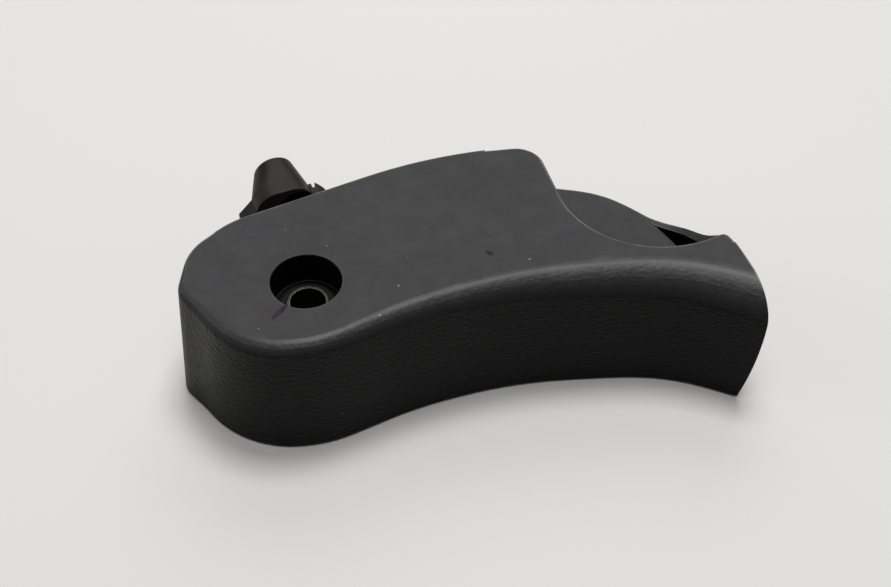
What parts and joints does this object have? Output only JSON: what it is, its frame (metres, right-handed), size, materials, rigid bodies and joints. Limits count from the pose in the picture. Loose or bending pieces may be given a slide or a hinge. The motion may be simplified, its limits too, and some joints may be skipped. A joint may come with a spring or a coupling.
{
  "type": "hood release handle",
  "caption": "Moulded hood release lever with a curved grip, finger scoop and guard, turning on a fixed bearing bracket with a cable seat.",
  "frame": {"origin": "on the pivot axis, at the bracket's mounting face", "axes": "+Z along the pivot out of the mounting panel, +X from the hub along the grip, +Y towards the finger scoop and the cable seat"},
  "size_m": [0.1344, 0.0702, 0.034],
  "materials": {
    "handle_plastic": "fine leather grain, satin black",
    "bracket_plastic": "smooth moulded black nylon",
    "sleeve_steel": "zinc plated steel"
  },
  "bodies": {
    "bracket": {"bearing_bracket": "bracket_plastic", "pivot_sleeve": "sleeve_steel"},
    "handle": {"handle": "handle_plastic"}
  },
  "joints": [
    {"name": "handle_pivot", "type": "hinge", "parent": "bracket", "child": "handle", "pos_m": [0, 0, 0], "axis": [0, 0, 1], "range_deg": [-45, 0]}
  ]
}
